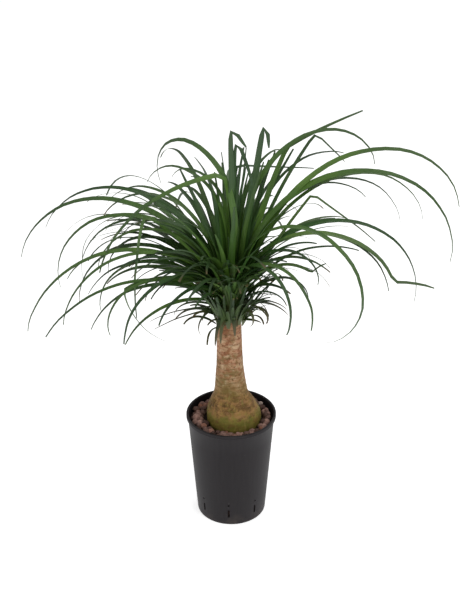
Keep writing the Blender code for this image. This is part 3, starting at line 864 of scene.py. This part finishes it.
# Leaves of a group. Those towards the front and the right are shorter, those at the back longer.
def groupLeaves(group, chance):
    low, high = group["span"]
    for k in range(group["count"]):
        bearing = low + (high - low) * ((k * goldenShare) % 1.0)
        bearing += chance.uniform(-reaching["bearing"], reaching["bearing"])
        front = max(0.0, -math.sin(math.radians(bearing)))
        back = max(0.0, math.sin(math.radians(bearing)))
        right = max(0.0, math.cos(math.radians(bearing)))
        rise = chance.uniform(*group["pitch"])
        if rise < reaching["steep"]:
            rise += reaching["lift"] * front
        fall = rise - chance.uniform(*group["bend"]) * (1.0 - reaching["frontBend"] * front)
        length = chance.uniform(*group["length"])
        length *= 1.0 - reaching["front"] * front ** reaching["frontEase"]
        length *= 1.0 - reaching["right"] * right
        length *= 1.0 + reaching["back"] * back
        width = chance.uniform(*group["width"])
        turn = chance.uniform(-reaching["turn"], reaching["turn"])
        made = leafOf(bearing, rise, fall, chance.uniform(*reaching["ease"]), length, width, turn)
        swing = group.get("drift", reaching["drift"])
        made.update(height=chance.uniform(*group["height"]), drift=chance.uniform(-swing, swing),
                    age=group["age"], reach=group.get("reach", crown["rootReach"]))
        yield made


# Every leaf of the crown, drawn in the same order as the solids, and then the inner leaves
def allLeaves():
    chance = random.Random(crown["seed"])
    leaves = [leafOf(*values) for values in clearLeaves]
    for made in leaves:
        made["height"] = chance.uniform(*crown["rootHeights"])
    for values in cutLeaves:
        leaves.append(leafOf(*values))
        leaves[-1].update(cut=True, height=crown["cutHeight"], reach=crown["cutReach"], age=0.9)
    for group in leafGroups + innerGroups:
        leaves += groupLeaves(group, chance)
    for values in youngLeaves:
        leaves.append(leafOf(*values))
        leaves[-1].update(height=youngHeight, age=0.0)
    return leaves


# Direction and heading of a leaf: the share runs from 0 at its root to 1 at its tip
def leafCourse(leaf, share):
    pitch = leaf["rise"] + (leaf["fall"] - leaf["rise"]) * share ** leaf["ease"]
    if leaf["crease"]:
        at, by = leaf["crease"]
        pitch += by * min(1.0, max(0.0, (share - at) / crown["creaseSpan"] + 0.5))
    pitch = math.radians(pitch)
    bearing = math.radians(leaf["bearing"] + leaf["drift"] * share ** crown["driftEase"])
    flat = math.cos(pitch)
    return Vector((flat * math.cos(bearing), flat * math.sin(bearing), math.sin(pitch))), bearing


def leafWidth(leaf, share):
    if leaf["cut"]:
        return leaf["width"] * (1.0 - share) ** crown["cutTaper"] + crown["cutTip"]
    if leaf["reach"] > crown["rootReach"]:  # the collar's leaves are narrow at their roots
        opening = min(1.0, crown["collarRoot"] + crown["rootRate"] * share)
    else:
        opening = max(1.0, crown["baseOpening"] - crown["rootRate"] * share)
    late = leaf["crease"] and leaf["crease"][0] > crown["lateCrease"]
    taper = crown["lateTaper" if late else "taper"]
    return leaf["width"] * opening * (1.0 - share) ** taper + crown["tipWidth"]


# Points down the middle of a leaf, each with its share, its half width and its sideways direction
def leafLine(leaf):
    steps = crown["steps"]
    bearing = math.radians(leaf["bearing"])
    spot = Vector((crown["centre"], 0.0, leaf["height"]))
    spot += Vector((math.cos(bearing), math.sin(bearing), 0.0)) * leaf["reach"]
    line = [spot]
    for k in range(steps):
        line.append(line[-1] + leafCourse(leaf, (k + 0.5) / steps)[0] * leaf["length"] / steps)
    shares = [k / (crown["points"] - 1) for k in range(crown["points"])]
    rows = []
    for share in shares:
        along, heading = leafCourse(leaf, share)
        across = Vector((-math.sin(heading), math.cos(heading), 0.0))
        turn = math.radians(leaf["turn"]) * min(1.0, share / crown["turnedBy"])
        across = Matrix.Rotation(turn, 3, along) @ across
        rows.append((line[round(share * steps)], share, leafWidth(leaf, share) / 2.0, across))
    return rows


def leafFinish():
    finish = Finish("palmLeaf")
    along, across, under = (finish.attribute(name) for name in ("along", "across", "under"))
    tone, age = finish.attribute("tone"), finish.attribute("age")
    patch = finish.clouds(finish.place, 22.0)
    grain = finish.clouds(finish.place, 260.0, 4.0, 0.65)
    veins = ((across + (grain - 0.5) * 0.03) * 46.0).sine() * 0.5 + 0.5
    young = finish.mix(tone, tint(54, 102, 30), tint(124, 172, 58))
    old = finish.mix(tone, tint(44, 72, 34), tint(96, 124, 60))
    green = finish.mix(age.ease(0.05, 0.60), young, old)
    green = finish.mix((tone * 7.3 + age * 3.1).part().over(0.86) * 0.5, green, tint(140, 172, 88))
    green = finish.mix(patch.ease(0.38, 0.66) * 0.36, green, tint(42, 78, 36))
    # Painted highlight: lighter along the fold in the middle of the blade
    green = finish.mix((1.0 - across.size().ease(0.0, 0.18)) * 0.35, green, tint(106, 138, 76))
    green = finish.mix(veins * 0.22, green, tint(90, 122, 70))
    green = finish.mix(under * 0.25, green, tint(84, 110, 56))
    green = finish.mix((1.0 - along.ease(0.0, 0.14)) * 0.30, green, tint(112, 126, 56))
    # Darker olive on the oldest, lowest leaves: their own colour, and partly painted shade under the crown
    green = finish.mix(age.over(0.72) * 0.60, green, tint(46, 60, 28))
    green = finish.mix((1.0 - along.ease(0.0, 0.30)) * age.over(0.72) * 0.5, green, tint(92, 88, 46))
    # Painted shade: darker grey-green towards the tips
    green = finish.mix(along.ease(0.28, 0.90) * 0.70, green, tint(48, 68, 48))
    dry = along.ease(0.90, 1.0) * age.over(0.38) * (tone * 3.7 + age).part().ease(0.35, 0.6)
    dry = dry + age.over(0.88) * along.ease(0.25, 0.8) * 0.6
    green = finish.mix(dry * 0.8, green, tint(108, 88, 58))
    finish.shade({"Base Color": green, "Roughness": 0.34 + grain * 0.16 + age * 0.10})
    finish.bump(veins * 0.6 + grain * 0.4, 0.35, 0.0003)
    return finish.material


# Sweeps a channelled blade along every leaf's line
def bladeRecipe():
    recipe = Recipe("leafBlades", {
        "Section points": crown["section"],
        "Channel": crown["channel"],
        "Thickness": crown["thickness"],
        "Sway": crown["sway"],
        "Material": leafFinish(),
    })
    here = recipe.node("GeometryNodeInputPosition")
    lines = recipe.node("GeometryNodeMeshToCurve", None, (Value(recipe, recipe.start.outputs["Geometry"]),))
    drift = recipe.clouds(here, 14.0, 1.0).other("Color")
    drift = recipe.node("ShaderNodeVectorMath", {"operation": "SUBTRACT"}, (drift, (0.5, 0.5, 0.5)))
    drift = recipe.scaled(drift, recipe.given("Sway") * recipe.named("along") * 2.0)
    lines = recipe.move(lines, "Offset", drift)
    lines = recipe.node("GeometryNodeSetCurveNormal", {"mode": "FREE"},
                        {"Curve": lines, "Normal": recipe.named("bladeAcross", "FLOAT_VECTOR")})
    ring = recipe.node("GeometryNodeCurvePrimitiveCircle", None,
                       {"Resolution": recipe.given("Section points"), "Radius": 1.0})
    x, y, z = recipe.split(here)
    ring = recipe.store(ring, "across", x)
    ring = recipe.store(ring, "under", (-y).over(0.1))
    bent = x.size() ** 1.3 * recipe.given("Channel") + y * recipe.given("Thickness")
    ring = recipe.move(ring, "Position", recipe.join(x, bent, 0.0))
    return recipe.finish(recipe.node("GeometryNodeCurveToMesh", None, {
        "Curve": lines, "Profile Curve": ring, "Scale": recipe.named("bladeHalf"), "Fill Caps": True}))


def makeCrown():
    chance = random.Random(crown["toneSeed"])
    rows, edges = [], []
    for leaf in allLeaves():
        tone = chance.random()
        line = leafLine(leaf)
        edges += [(len(rows) + k, len(rows) + k + 1) for k in range(len(line) - 1)]
        rows += [row + (tone, leaf["age"]) for row in line]
    leaves = newPiece("leafCrown", [row[0] for row in rows], [], edges)
    storeValues(leaves, "along", [row[1] for row in rows])
    storeValues(leaves, "bladeHalf", [row[2] for row in rows])
    storeValues(leaves, "bladeAcross", [tuple(row[3]) for row in rows], "FLOAT_VECTOR")
    storeValues(leaves, "tone", [row[4] for row in rows])
    storeValues(leaves, "age", [row[5] for row in rows])
    bladeRecipe().make(leaves)
    place(leaves, "leaf_crown", "leaf_green", 80)


makeStudio()
makePot()
makeGranules()
makeTrunk()
makeCrown()
